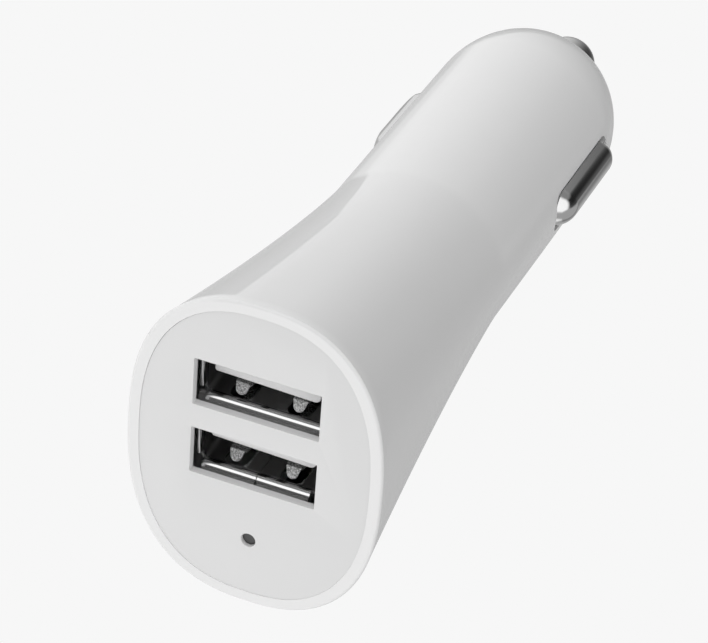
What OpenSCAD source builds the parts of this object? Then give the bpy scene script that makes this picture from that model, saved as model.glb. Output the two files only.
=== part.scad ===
// A two-port USB charger plug for a car's accessory socket.
// The axis runs along +Y from the face to the tip, and +Z is up. Each piece is drawn
// from the face at y = 0, then moved so that the origin is where the barrel starts.

/* [Front face] */
// Width of the oval front face
face_w = 26.4; // [26:0.1:28]
// Height of the oval front face
face_h = 34.4; // [34:0.1:36]
// Squareness of the oval, where 2 is a plain ellipse
face_power = 2.44; // [2.3:0.02:2.8]
// Width of the flat rim round the face plate
rim_w = 1.27; // [1.1:0.01:1.5]
// Radius of the rim's outer edge
rim_round = 0.35; // [0.2:0.05:0.5]
// Depth of the face plate behind the rim
plate_recess = 0.2; // [0.1:0.05:0.4]
// Thickness of the face plate
plate_t = 1.5; // [1.3:0.1:2]

/* [Housing] */
// Diameter of the barrel that enters the socket
barrel_d = 20.8; // [20.6:0.1:21]
// Length over which the oval flares down to the barrel
flare_len = 39.2; // [38:0.1:41]
// How fast the flare falls, where 1 is a straight taper
flare_power = 1.3; // [1.2:0.05:1.4]
// Distance from the face to the end of the barrel's true cylinder
cylinder_end = 53.4; // [52.5:0.1:53.6]
// Draft of the barrel's radius from there to the nose
barrel_draft = 0.05; // [0:0.01:0.1]
// Distance from the face to the start of the nose
nose_start = 69.2; // [69:0.1:71]
// Length of the dome that the nose is cut from
nose_len = 12.2; // [12:0.1:13]
// Radius of the flat at the end of the nose
nose_flat_r = 3.9; // [3.8:0.1:4.4]
// Thickness of the housing wall
wall = 1.5; // [1.3:0.1:1.6]

/* [Ports] */
// Width of each opening in the face plate
port_w = 13.0; // [12.8:0.05:13.2]
// Height of each opening in the face plate
port_h = 5.2; // [5.1:0.05:5.4]
// Distance between the two port centres
port_pitch = 7.88; // [7.6:0.02:8.2]
// Height of the point midway between the ports
port_mid_z = 2.84; // [2.6:0.02:3]
// Depth of each shell's mouth behind the front of the plate
mouth_depth = 0.7; // [0.6:0.05:0.9]
// Length of each port shell
shell_len = 13.6; // [13:0.1:14]
// Height of the charging light, measured from the axis
light_z = -9.74; // [-10.2:0.02:-9.4]
// Radius of the hole for the charging light
light_r = 0.75; // [0.6:0.05:0.9]

/* [Side contacts] */
// Distance from the axis to the crown of the right side contact
crown_right_x = 11.6; // [11.4:0.1:12]
// Distance from the axis to the crown of the left side contact
crown_left_x = 12.0; // [11.4:0.1:12]
// Where the exposed stretch of a side contact starts
contact_start = 54.1; // [53.8:0.1:55]
// Where the exposed stretch of a side contact ends
contact_end = 68.1; // [67.5:0.1:68.3]
// Half of the width of a side contact
contact_half_w = 2.15; // [2:0.05:2.4]
// Thickness of the contact sheet
sheet_t = 0.4; // [0.3:0.05:0.5]

/* [Tip] */
// Radius of the tip contact's shank
tip_r = 3.0; // [2.8:0.05:3.1]
// Distance from the face to the end of the tip
tip_end = 87.5; // [86.5:0.1:88]
// Travel of the tip contact into the nose
tip_travel = 4.0; // [3:0.1:4]
// Diameter of the tip spring's wire
spring_wire = 0.6; // [0.5:0.05:0.7]
// Number of turns of the tip spring
spring_turns = 5.5; // [4.5:0.5:6.5]

/* [Boards] */
// Thickness of both circuit boards
board_t = 1.6; // [1.4:0.1:1.6]
// Half of the wide stretch of the power board
board_half_w = 8.7; // [8.5:0.05:8.7]
// Where the power board ends
board_end = 65.0; // [64:0.1:66]

/* [Hidden] */

$fn = 48;
eps = 0.02;
barrel_r = barrel_d / 2;
inner_r = barrel_r - wall;

// Facets round the oval outside and inside, and rings along the flare
oval_count = 72;
inner_count = 48;
flare_rings = 16;
inner_rings = 10;

// The flare ends just outside the barrel, then one more ring sinks into it
flare_lap = 0.5;
flare_lift = 0.02;
flare_sink = 0.12;
barrel_lead = 2.4;
bore_lead = 3.2;
cone_lead = 0.7;

// Face plate
plate_front = plate_recess;
plate_back = plate_front + plate_t;
plate_gap = 0.05;
plate_chamfer = 0.2;
skirt_len = 3.0;
skirt_t = 1.0;
skirt_gap = 0.25;

// Port shells, to the common sizes of a type A socket
cavity_w = 12.5;
cavity_h = 5.12;
shell_t = 0.3;
shell_corner = 0.6;
lip_flare = 0.56;
lip_len = 1.45;
lip_gap = 0.1;
// The lip's curve, as shares of its length and of its flare
lip_curve = [[0, 1], [0.15, 0.69], [0.35, 0.39], [0.7, 0.08], [1, 0]];
shell_front = plate_front + mouth_depth;
shell_back = shell_front + shell_len;
finger_w = 1.7;
finger_x = 3.05;
finger_tip_y = shell_front + 2.3;
finger_root_gap = 1.0;
finger_rise = 1.5;
finger_slot = 0.35;
finger_bend = 0.6;
finger_crest = 0.5;
finger_tip_share = 0.05;
finger_root = 0.3;
tab_root = 1.0;
shell_tab_w = 1.6;
tab_gap = 0.1;

// Tongue and its four terminals
tongue_w = 10.9;
tongue_h = 1.84;
tongue_drop = 0.7;
tongue_front = plate_front + 2.3;
tongue_corner = 0.4;
base_gap = 0.03;
base_len = 4.8;
base_front = shell_back - base_len;
finger_root_y = base_front - finger_root_gap;
tongue_top_z = cavity_h / 2 - tongue_drop;
tongue_low_z = tongue_top_z - tongue_h;
terminal_w = 1.0;
terminal_t = 0.3;
terminal_proud = 0.13;
terminal_xs = [-3.5, -1, 1, 3.5];
terminal_setback = 0.8;
terminal_root = 1.0;
tail_w = 0.7;

// Port board, which stands across the axis behind the shells
port_board_front = shell_back;
port_board_back = port_board_front + board_t;
port_board_gap = 0.15;
tail_reach = 0.8;

// Power board, which lies along the axis and starts with a neck between the shells' tabs
board_neck_half_w = 5.8;
board_neck_len = 1.9;
board_neck_end = port_board_back + board_neck_len;
board_wide_end = 38.0;
board_post_half_w = 7.85;
board_post_end = 42.2;
board_narrow_half_w = 5.2;
board_top = board_t / 2;
rail_start = 24.0;
rail_end = 36.0;
rail_reach = 0.8;
rail_h = 1.2;

// Side contacts, their slots in the barrel, and their hinge posts
slot_gap = 0.2;
slot_end_gap = 0.8;
slot_corner = 1.3;
shoulder_x = 10.0;
crown_half_w = 0.9;
crown_lead = 3.3;
crown_tail = 0.15;
boat_corner = 1.4;
boat_roundness = 1.2;
boat_turns = [0, 35, 65, 90];
level_t = 0.05;
shoulder_share = 0.6;
ear_half_w = 3.1;
ear_x = 8.15;
ear_start = contact_start + 4;
ear_end = contact_end - 2.4;
post_x = 7.2;
post_y = 41.0;
post_r = 0.5;
post_gap = 0.05;
post_half_h = 2.8;
post_head_r = 1.0;
post_head_t = 0.4;
eye_half_h = 2.0;
eye_clear = 0.2;
leaf_lap = 1.0;
eye_r = 1.2;

// Tip contact and its spring
tip_gap = 0.1;
tip_dome = 2.2;
flange_r = 4.9;
flange_t = 1.2;
flange_seat = 78.5;
guide_r = flange_r + 0.3;
guide_start = 72.0;
spigot_r = 2.6;
spigot_len = 1.6;
spigot_taper = 0.3;
spring_r = 3.5;
spring_sides = 8;
spring_steps = 18;
seat_r = 4.6;
seat_t = 1.0;
seat_y = board_end + seat_t;
seat_leg_len = 3.0;
seat_leg_t = 0.6;
seat_leg_half_w = 2.2;
nose_steps = 14;

// Light pipe and its lamp
pipe_gap = 0.04;
pipe_front = plate_front + 0.25;
pipe_boss_r = 1.6;
pipe_boss_len = 2.6;
pipe_flange_r = 1.2;
pipe_flange_t = 0.8;
led_size = [3.0, 1.1, 1.5];

function flare_share(y) = max(0, 1 - y / flare_len);
function half_w(y) = barrel_r + (face_w / 2 - barrel_r) * pow(flare_share(y), flare_power);
function half_h(y) = barrel_r + (face_h / 2 - barrel_r) * pow(flare_share(y), flare_power);
function squareness(y) = 2 + (face_power - 2) * flare_share(y);

// One ring of an oval, counted anticlockwise as seen from the face
function oval_radius(a, b, n, t) = pow(pow(abs(cos(t)) / a, n) + pow(abs(sin(t)) / b, n), -1 / n);
function oval(a, b, n, count) = [
    for (i = [0:count - 1])
        let (t = 360 * i / count, r = oval_radius(a, b, n, t))
        [r * cos(t), r * sin(t)]
];

// One ring of a rounded rectangle with 4 steps to each corner
function round_box(w, h, r) = [
    for (corner = [0:3], step = [0:4])
        let (t = corner * 90 + step * 22.5,
             sx = (corner == 0 || corner == 3) ? 1 : -1,
             sz = corner < 2 ? 1 : -1)
        [sx * (w / 2 - r) + r * cos(t), sz * (h / 2 - r) + r * sin(t)]
];

// A solid through rings of equal count, each given as [y, outline]
module loft(rings) {
    count = len(rings[0][1]);
    last = len(rings) - 1;
    points = [for (ring = rings, p = ring[1]) [p[0], ring[0], p[1]]];
    sides = [
        for (j = [0:last - 1], i = [0:count - 1], half = [0:1])
            let (a = j * count + i, b = j * count + (i + 1) % count)
            half == 0 ? [a, b, b + count] : [a, b + count, a + count]
    ];
    front = [for (i = [0:count - 1]) count - 1 - i];
    back = [for (i = [0:count - 1]) last * count + i];
    polyhedron(points = points, faces = concat([front], sides, [back]), convexity = 4);
}

// A flat outline in X and Z, made solid from y0 to y1
module plate_shape(y0, y1) {
    translate([0, y1, 0])
        rotate([90, 0, 0])
            linear_extrude(y1 - y0)
                children();
}

// A turned shape from a profile of [radius, y]
module turned(profile) {
    rotate([-90, 0, 0])
        rotate_extrude()
            polygon(profile);
}

module rounded_square(w, h, r) {
    offset(r = r)
        square([w - 2 * r, h - 2 * r], center = true);
}

// A block given by its two corners
module block(low, high) {
    translate(low)
        cube(high - low);
}

// Housing

dome_r = barrel_r - barrel_draft;
function nose_r(y) = dome_r * sqrt(1 - pow((y - nose_start) / nose_len, 2));
nose_end = nose_start + nose_len * sqrt(1 - pow(nose_flat_r / dome_r, 2));

module flare_outside() {
    round_rings = [
        for (t = [0:30:60])
            let (inset = rim_round * (1 - sin(t)))
            [rim_round * (1 - cos(t)), oval(face_w / 2 - inset, face_h / 2 - inset, face_power, oval_count)]
    ];
    flare = [
        for (i = [0:flare_rings])
            let (y = rim_round + (flare_len - rim_round) * i / flare_rings,
                 lift = flare_lift * i / flare_rings)
            [y, oval(half_w(y) + lift, half_h(y) + lift, squareness(y), oval_count)]
    ];
    end_r = barrel_r - flare_sink;
    end = [[flare_len + flare_lap, oval(end_r, end_r, 2, oval_count)]];
    loft(concat(round_rings, flare, end));
}

module flare_inside() {
    flare = [
        for (i = [0:inner_rings - 1])
            let (y = plate_back - eps + (flare_len - plate_back) * i / inner_rings)
            [y, oval(half_w(y) - wall, half_h(y) - wall, squareness(y), inner_count)]
    ];
    end_r = inner_r - flare_sink;
    end = [[flare_len + flare_lap, oval(end_r, end_r, 2, inner_count)]];
    loft(concat(flare, end));
}

module barrel_outside() {
    dome = [
        for (i = [0:nose_steps])
            let (y = nose_start + (nose_end - nose_start) * sin(90 * i / nose_steps))
            [nose_r(y), y]
    ];
    start = flare_len - barrel_lead;
    turned(concat([[0, start], [barrel_r, start], [barrel_r, cylinder_end]], dome, [[0, nose_end]]));
}

module barrel_inside() {
    start = flare_len - bore_lead;
    turned([[0, start], [inner_r, start], [inner_r, nose_start - cone_lead],
            [guide_r, guide_start], [guide_r, flange_seat], [0, flange_seat]]);
    translate([0, flange_seat - 1, 0])
        rotate([-90, 0, 0])
            cylinder(h = nose_end - flange_seat + 2, r = tip_r + tip_gap);
}

module contact_slot() {
    middle = (contact_start + contact_end + slot_end_gap) / 2;
    length = contact_end - contact_start + slot_end_gap + 2 * slot_gap;
    translate([0, middle, 0])
        rotate([90, 0, 90])
            linear_extrude(barrel_r + 1)
                rounded_square(length, 2 * (contact_half_w + slot_gap), slot_corner);
}

module housing() {
    color("white") {
        difference() {
            union() {
                flare_outside();
                barrel_outside();
            }
            plate_shape(-1, plate_back)
                polygon(oval(face_w / 2 - rim_w, face_h / 2 - rim_w, face_power, oval_count));
            flare_inside();
            barrel_inside();
            contact_slot();
            mirror([1, 0, 0])
                contact_slot();
        }
        for (side = [-1, 1], level = [-1, 1])
            board_rail(side, level);
    }
}

// A rail grips one edge of the power board from above or below
module board_rail(side, level) {
    x = side * (inner_r - rail_reach / 2 + wall / 4);
    z = level * (board_top + rail_h / 2);
    translate([x, (rail_start + rail_end) / 2, z])
        cube([rail_reach + wall / 2, rail_end - rail_start, rail_h], center = true);
}

// Face plate

port_zs = [port_mid_z + port_pitch / 2, port_mid_z - port_pitch / 2];

module face_plate() {
    a = face_w / 2 - rim_w - plate_gap;
    b = face_h / 2 - rim_w - plate_gap;
    color("gainsboro")
        difference() {
            union() {
                loft([
                    [plate_front, oval(a - plate_chamfer, b - plate_chamfer, face_power, oval_count)],
                    [plate_front + plate_chamfer, oval(a, b, face_power, oval_count)],
                    [plate_back, oval(a, b, face_power, oval_count)]
                ]);
                plate_skirt();
                translate([0, plate_back - eps, light_z])
                    rotate([-90, 0, 0])
                        cylinder(h = pipe_boss_len + eps, r = pipe_boss_r);
            }
            for (z = port_zs)
                port_cutout(z);
            translate([0, plate_front - 1, light_z])
                rotate([-90, 0, 0])
                    cylinder(h = plate_t + pipe_boss_len + 2, r = light_r);
        }
}

module plate_skirt() {
    y = plate_back + skirt_len;
    a = half_w(y) - wall - skirt_gap;
    b = half_h(y) - wall - skirt_gap;
    n = squareness(y);
    difference() {
        plate_shape(plate_back - eps, y)
            polygon(oval(a, b, n, inner_count));
        plate_shape(plate_back - 1, y + 1)
            polygon(oval(a - skirt_t, b - skirt_t, n, inner_count));
    }
}

// The opening, and the pocket behind it that takes the shell's lip
module port_cutout(z) {
    lip_w = cavity_w + 2 * (shell_t + lip_flare + lip_gap);
    lip_h = cavity_h + 2 * (shell_t + lip_flare + lip_gap);
    translate([0, 0, z]) {
        plate_shape(plate_front - 1, plate_back + 1)
            square([port_w, port_h], center = true);
        plate_shape(shell_front, plate_back + 1)
            rounded_square(lip_w, lip_h, shell_corner + lip_flare);
    }
}

// Port shell: a folded sheet sleeve with a flared mouth and sprung fingers

function shell_ring(y, grow) = [y, round_box(cavity_w + 2 * grow, cavity_h + 2 * grow, shell_corner + grow)];
function lip_rings(grow) = [
    for (p = lip_curve)
        shell_ring(shell_front + lip_len * p[0], grow + lip_flare * p[1])
];

module shell_sleeve() {
    difference() {
        loft(concat(lip_rings(shell_t), [shell_ring(shell_back, shell_t)]));
        loft(concat([shell_ring(shell_front - eps, lip_flare)], lip_rings(0),
                    [shell_ring(shell_back + eps, 0)]));
    }
}

// The U-shaped cut that frees a finger from the floor
module finger_window(x) {
    half = finger_w / 2 + finger_slot;
    floor_z = -cavity_h / 2 - shell_t;
    block([x - half, finger_tip_y - finger_slot, floor_z - 1],
          [x + half, finger_root_y, floor_z + shell_t + 0.1]);
}

module finger(x) {
    z = -cavity_h / 2;
    bend_y = finger_tip_y + finger_bend;
    crest_y = bend_y + finger_crest;
    root_y = finger_root_y + finger_root;
    tip_z = z + finger_rise * finger_tip_share;
    translate([x - finger_w / 2, 0, 0])
        rotate([90, 0, 90])
            linear_extrude(finger_w)
                polygon([
                    [root_y, z], [root_y, z - shell_t], [finger_root_y, z - shell_t],
                    [crest_y, z + finger_rise - shell_t], [bend_y + shell_t, z + finger_rise - shell_t],
                    [finger_tip_y + shell_t, tip_z], [finger_tip_y, tip_z],
                    [bend_y, z + finger_rise], [crest_y, z + finger_rise], [finger_root_y, z]
                ]);
}

module usb_shell(z) {
    tab_x = cavity_w / 2;
    translate([0, 0, z])
        color("silver") {
            difference() {
                shell_sleeve();
                for (side = [-1, 1])
                    finger_window(side * finger_x);
            }
            for (side = [-1, 1]) {
                finger(side * finger_x);
                block([side * (tab_x + shell_t / 2) - shell_t / 2, shell_back - tab_root, -shell_tab_w / 2],
                      [side * (tab_x + shell_t / 2) + shell_t / 2, port_board_back + tail_reach,
                       shell_tab_w / 2]);
            }
        }
}

// Tongue: the moulded insulator that carries the terminals

module terminal_bars(z) {
    low = tongue_low_z - terminal_proud;
    for (x = terminal_xs) {
        block([x - terminal_w / 2, tongue_front + terminal_setback, z + low],
              [x + terminal_w / 2, base_front + terminal_root, z + low + terminal_t]);
        block([x - tail_w / 2, base_front + terminal_root, z + low],
              [x + tail_w / 2, port_board_back + tail_reach, z + low + terminal_t]);
    }
}

module usb_tongue(z) {
    color("whitesmoke")
        difference() {
            union() {
                translate([0, 0, z + tongue_top_z - tongue_h / 2])
                    plate_shape(tongue_front, base_front + terminal_root)
                        rounded_square(tongue_w, tongue_h, tongue_corner);
                translate([0, 0, z])
                    plate_shape(base_front, shell_back)
                        rounded_square(cavity_w - 2 * base_gap, cavity_h - 2 * base_gap, shell_corner);
            }
            terminal_bars(z);
        }
}

module usb_terminals(z) {
    color("lightgray")
        terminal_bars(z);
}

// Charging light

module light_pipe() {
    boss_end = plate_back + pipe_boss_len;
    led_front = port_board_front - led_size[1];
    r = light_r - pipe_gap;
    color("dimgray")
        translate([0, 0, light_z])
            turned([[0, pipe_front], [r, pipe_front], [r, boss_end], [pipe_flange_r, boss_end],
                    [pipe_flange_r, boss_end + pipe_flange_t], [r, boss_end + pipe_flange_t],
                    [r, led_front], [0, led_front]]);
}

module status_led() {
    color("ivory")
        translate([0, port_board_front - led_size[1] / 2, light_z])
            cube(led_size, center = true);
}

// Boards

module port_board() {
    margin = wall + port_board_gap;
    y = port_board_back;
    color("darkgreen")
        difference() {
            plate_shape(port_board_front, y)
                polygon(oval(half_w(y) - margin, half_h(y) - margin, squareness(y), inner_count));
            for (z = port_zs) {
                for (side = [-1, 1])
                    board_cut([side * (cavity_w + shell_t) / 2, z],
                              [shell_t + 2 * tab_gap, shell_tab_w + 2 * tab_gap]);
                for (x = terminal_xs)
                    board_cut([x, z + tongue_low_z - terminal_proud + terminal_t / 2],
                              [tail_w + 2 * tab_gap, terminal_t + 2 * tab_gap]);
            }
        }
}

module board_cut(at, size) {
    translate([at[0], 0, at[1]])
        plate_shape(port_board_front - 1, port_board_back + 1)
            square(size, center = true);
}

module power_board() {
    start = port_board_back;
    color("darkgreen")
        difference() {
            union() {
                block([-board_neck_half_w, start, -board_top],
                      [board_neck_half_w, board_wide_end, board_top]);
                block([-board_half_w, board_neck_end, -board_top],
                      [board_half_w, board_wide_end, board_top]);
                block([-board_post_half_w, board_neck_end, -board_top],
                      [board_post_half_w, board_post_end, board_top]);
                block([-board_narrow_half_w, start, -board_top],
                      [board_narrow_half_w, board_end, board_top]);
            }
            for (side = [-1, 1])
                translate([side * post_x, post_y, -board_t])
                    cylinder(h = 2 * board_t, r = post_r);
        }
}

// Parts on the power board

choke_y = 25.6;
choke_r = 4.7;
choke_h = 6.4;
choke_waist_r = 2.6;
choke_cheek = 1.0;
winding_turns = 7;
winding_depth = 0.7;
input_can_y = 35.6;
input_can_r = 3.4;
input_can_len = 13;
output_can_y = 21.5;
output_can_r = 3.2;
output_can_len = 9.5;
can_crimp = 1.6;
can_edge = 0.4;
can_lead_x = 1.25;
can_lead_t = 0.6;
can_lead_reach = 1.4;
chip_y = 37.5;
chip_size = [3.9, 4.9, 1.4];
chip_lift = 0.15;
chip_leg_pitch = 1.27;
chip_leg = [1.2, 0.42, 0.8];
chip_leg_lap = 0.2;
rectifier_y = 50.6;
rectifier_size = [4.4, 3.6, 2.2];
chip_part_size = [2.0, 1.25, 0.6];
chip_part_tops = [[-6.3, 33], [-6.3, 36], [6.3, 33], [6.3, 36]];
chip_part_lows = [[-5.2, 36], [-5.2, 39], [5.2, 36], [5.2, 39], [-3.4, 45], [3.4, 45]];
fuse_y = 55.4;
fuse_size = [2.6, 6.0, 2.4];

// Drum core with a cheek at each end
module choke_core() {
    z = board_top;
    color("darkslategray")
        translate([0, choke_y, z])
            rotate_extrude()
                polygon([[0, 0], [choke_r, 0], [choke_r, choke_cheek], [choke_waist_r, choke_cheek],
                         [choke_waist_r, choke_h - choke_cheek], [choke_r, choke_h - choke_cheek],
                         [choke_r, choke_h], [0, choke_h]]);
}

// Turns of copper wire, packed side by side round the drum's waist
module choke_winding() {
    window = choke_h - 2 * choke_cheek;
    wire_r = window / winding_turns / 2;
    outer = choke_r - winding_depth;
    z = board_top + choke_cheek;
    bumps = [
        for (i = [0:winding_turns - 1], t = [-90:45:45])
            [outer + wire_r * cos(t), wire_r * (2 * i + 1 + sin(t))]
    ];
    color("chocolate")
        translate([0, choke_y, z])
            rotate_extrude()
                polygon(concat([[choke_waist_r, 0]], bumps, [[outer, window], [choke_waist_r, window]]));
}

// An electrolytic can that lies along the board, with its crimp and its two leads
module capacitor(y, r, length, level) {
    z = level * (board_top + r);
    groove_y = y + can_crimp + can_edge;
    lead_y = y - can_lead_reach;
    below = level > 0 ? -barrel_r : -board_top;
    above = level > 0 ? board_top : barrel_r;
    difference() {
        union() {
            translate([0, 0, z])
                turned([[0, y], [r - can_edge, y], [r, y + can_edge], [r, y + can_crimp],
                        [r - can_edge, groove_y], [r - can_edge, groove_y + can_edge],
                        [r, groove_y + 2 * can_edge], [r, y + length - can_edge],
                        [r - can_edge, y + length], [0, y + length]]);
            for (side = [-can_lead_x, can_lead_x])
                translate([side - can_lead_t / 2, lead_y, 0]) {
                    block([0, 0, min(0, z)], [can_lead_t, can_lead_t, max(0, z) + can_lead_t / 2]);
                    translate([0, 0, z - can_lead_t / 2])
                        cube([can_lead_t, can_lead_reach + eps, can_lead_t]);
                }
        }
        block([-barrel_r, 0, below], [barrel_r, board_end, above]);
    }
}

module input_capacitor() {
    color("slategray")
        capacitor(input_can_y, input_can_r, input_can_len, 1);
}

module output_capacitor() {
    color("slategray")
        capacitor(output_can_y, output_can_r, output_can_len, -1);
}

// An eight-legged converter under the board
module converter_chip() {
    leg_x = chip_size[0] / 2 - chip_leg_lap + chip_leg[0] / 2;
    color("black") {
        translate([0, chip_y, -board_top - chip_lift - chip_size[2] / 2])
            cube(chip_size, center = true);
        for (side = [-1, 1], i = [-1.5:1.5])
            translate([side * leg_x, chip_y + i * chip_leg_pitch, -board_top - chip_leg[2] / 2])
                cube(chip_leg, center = true);
    }
}

module rectifier() {
    color("black")
        translate([-rectifier_size[0] / 2, rectifier_y, board_top])
            cube(rectifier_size);
}

// Small resistors and ceramic capacitors, all on the board's two faces
module chip_parts() {
    z = board_top + chip_part_size[2] / 2;
    color("sandybrown") {
        for (p = chip_part_tops)
            translate([p[0], p[1], z])
                cube(chip_part_size, center = true);
        for (p = chip_part_lows)
            translate([p[0], p[1], -z])
                cube(chip_part_size, center = true);
    }
}

module fuse() {
    color("beige")
        translate([0, fuse_y, -board_top - fuse_size[2] / 2])
            cube(fuse_size, center = true);
}

// Side contacts

// A headed post through the power board, on which a side contact turns
module hinge_post() {
    color("darkgoldenrod")
        translate([post_x, post_y, 0]) {
            cylinder(h = 2 * post_half_h, r = post_r, center = true);
            for (level = [-1, 1])
                translate([0, 0, level * (post_half_h + post_head_t / 2)])
                    cylinder(h = post_head_t, r = post_head_r, center = true);
        }
}

// One outline of the pressed bump: round at its near end, with two rounded corners at its far end
function boat_outline(near, far, half) =
    let (r = min(boat_corner, 0.8 * half))
    concat(
        [for (a = [90:22.5:270]) [near + half + half * cos(a), half * sin(a)]],
        [for (a = [270:30:360]) [far - r + r * cos(a), r - half + r * sin(a)]],
        [for (a = [0:30:90]) [far - r + r * cos(a), half - r + r * sin(a)]]
    );

module boat_level(x0, x1, near, far, half) {
    translate([x0, 0, 0])
        rotate([90, 0, 90])
            linear_extrude(x1 - x0)
                polygon(boat_outline(near, far, half));
}

// The bump that stands out of the barrel, pressed to a rounded crown, grown or shrunk by a margin
module boat(crown_x, margin) {
    hull() {
        boat_level(ear_x - sheet_t, ear_x, contact_start - margin, contact_end + margin,
                   contact_half_w + margin);
        for (a = boat_turns) {
            rise = pow(sin(a), boat_roundness);
            spread = 1 - pow(cos(a), boat_roundness);
            inward = margin * (shoulder_share + (1 - shoulder_share) * rise);
            x = shoulder_x + (crown_x - shoulder_x) * rise + inward;
            boat_level(x - level_t, x, contact_start + crown_lead * spread - margin,
                       contact_end - crown_tail * spread + margin,
                       contact_half_w + (crown_half_w - contact_half_w) * spread + margin);
        }
    }
}

module side_contact(crown_x) {
    color("silver") {
        difference() {
            boat(crown_x, 0);
            translate([-eps, 0, 0])
                boat(crown_x, -sheet_t);
        }
        // The flange that stops against the barrel's inner wall
        difference() {
            block([ear_x - sheet_t, ear_start, -ear_half_w], [ear_x, ear_end, ear_half_w]);
            block([ear_x - 1, ear_start - 1, sheet_t - contact_half_w],
                  [ear_x + 1, ear_end + 1, contact_half_w - sheet_t]);
        }
        // The leaf that leads to the hinge, and its rolled eye
        difference() {
            union() {
                block([post_x + eye_r - sheet_t, post_y, -eye_half_h],
                      [post_x + eye_r, contact_start + leaf_lap, eye_half_h]);
                translate([post_x, post_y, 0])
                    cylinder(h = 2 * eye_half_h, r = eye_r, center = true);
            }
            translate([post_x, post_y, 0])
                cylinder(h = 6 * eye_half_h, r = post_r + post_gap, center = true);
            block([post_x - 2 * eye_r, post_y - 2 * eye_r, -board_top - eye_clear],
                  [post_x + eye_r + eps, post_y + 2 * eye_r, board_top + eye_clear]);
        }
    }
}

// Tip contact, its spring and the seat on the power board

module spring_seat() {
    color("darkgoldenrod") {
        turned([[0, board_end], [seat_r, board_end], [seat_r, seat_y],
                [spigot_r, seat_y], [spigot_r - spigot_taper, seat_y + spigot_len],
                [0, seat_y + spigot_len]]);
        for (level = [-1, 1])
            translate([0, board_end - seat_leg_len / 2, level * (board_top + seat_leg_t / 2)])
                cube([2 * seat_leg_half_w, seat_leg_len + eps, seat_leg_t], center = true);
    }
}

module tip_contact() {
    dome_start = tip_end - tip_dome;
    flange_start = flange_seat - flange_t;
    dome = [
        for (t = [0:10:80])
            [tip_r * cos(t), dome_start + tip_dome * sin(t)]
    ];
    color("dimgray")
        turned(concat([[0, flange_start - spigot_len], [spigot_r - spigot_taper, flange_start - spigot_len],
                       [spigot_r, flange_start], [flange_r, flange_start],
                       [flange_r, flange_seat], [tip_r, flange_seat]], dome, [[0, tip_end]]));
}

// A helix of round wire between the seat and the tip's flange
module tip_spring() {
    w = spring_wire / 2;
    low = seat_y + w;
    rise = flange_seat - flange_t - w - low;
    steps = floor(spring_turns * spring_steps);
    rings = [
        for (i = [0:steps])
            let (t = 360 * spring_turns * i / steps, y = low + rise * i / steps)
            [for (k = [0:spring_sides - 1])
                let (s = 360 * k / spring_sides, r = spring_r + w * cos(s))
                [r * cos(t), y + w * sin(s), r * sin(t)]]
    ];
    points = [for (ring = rings, p = ring) p];
    sides = [
        for (j = [0:steps - 1], i = [0:spring_sides - 1], half = [0:1])
            let (a = j * spring_sides + i, b = j * spring_sides + (i + 1) % spring_sides)
            half == 0 ? [a, b + spring_sides, b] : [a, a + spring_sides, b + spring_sides]
    ];
    front = [for (i = [0:spring_sides - 1]) i];
    back = [for (i = [0:spring_sides - 1]) steps * spring_sides + spring_sides - 1 - i];
    color("gray")
        polyhedron(points = points, faces = concat([front], sides, [back]), convexity = 10);
}

module set_down() {
    translate([0, -flare_len, 0])
        children();
}

set_down() housing();
set_down() face_plate();
set_down() usb_shell(port_zs[0]);  // usb_shell_upper
set_down() usb_shell(port_zs[1]);  // usb_shell_lower
set_down() usb_tongue(port_zs[0]);  // usb_tongue_upper
set_down() usb_tongue(port_zs[1]);  // usb_tongue_lower
set_down() usb_terminals(port_zs[0]);  // usb_terminals_upper
set_down() usb_terminals(port_zs[1]);  // usb_terminals_lower
set_down() light_pipe();
set_down() status_led();
set_down() port_board();
set_down() power_board();
set_down() choke_core();
set_down() choke_winding();
set_down() input_capacitor();
set_down() output_capacitor();
set_down() converter_chip();
set_down() rectifier();
set_down() chip_parts();
set_down() fuse();
set_down() mirror([1, 0, 0]) hinge_post();  // hinge_post_left
set_down() hinge_post();  // hinge_post_right
set_down() mirror([1, 0, 0]) side_contact(crown_left_x);  // side_contact_left
set_down() side_contact(crown_right_x);  // side_contact_right
set_down() spring_seat();
set_down() tip_spring();
set_down() tip_contact();
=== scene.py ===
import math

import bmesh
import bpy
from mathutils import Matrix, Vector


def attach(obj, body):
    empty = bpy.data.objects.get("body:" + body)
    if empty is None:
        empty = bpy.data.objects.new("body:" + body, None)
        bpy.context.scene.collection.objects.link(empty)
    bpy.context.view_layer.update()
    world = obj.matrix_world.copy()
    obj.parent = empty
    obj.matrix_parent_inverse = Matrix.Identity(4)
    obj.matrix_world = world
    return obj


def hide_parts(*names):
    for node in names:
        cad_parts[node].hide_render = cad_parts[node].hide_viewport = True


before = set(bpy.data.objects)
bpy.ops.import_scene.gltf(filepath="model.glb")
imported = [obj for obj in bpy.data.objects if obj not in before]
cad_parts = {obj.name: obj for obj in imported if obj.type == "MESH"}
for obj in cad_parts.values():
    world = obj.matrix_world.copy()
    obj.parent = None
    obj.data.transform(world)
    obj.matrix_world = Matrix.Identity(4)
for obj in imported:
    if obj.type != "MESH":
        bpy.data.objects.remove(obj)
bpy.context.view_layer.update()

# %% [markdown]
# # A car's charger plug, dressed for a portrait
# The packed CAD model is loaded as a fixed frame. Every size below is written in
# millimetres from the front face, as in the CAD source, and is put into the frame's
# metres by one helper, so the two models always agree.

MM = 0.001
BARREL_START = 39.2  # the frame's origin, measured from the front face

# %% [markdown]
# ## The camera
# The photograph was taken from above and a little to the right with a long lens. Its
# angles came from fitting the corners of the two ports and the outline of the body, so
# they are typed in here. A camera could also be aimed by a constraint, but a fitted view
# has a small roll that a constraint would lose.

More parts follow.
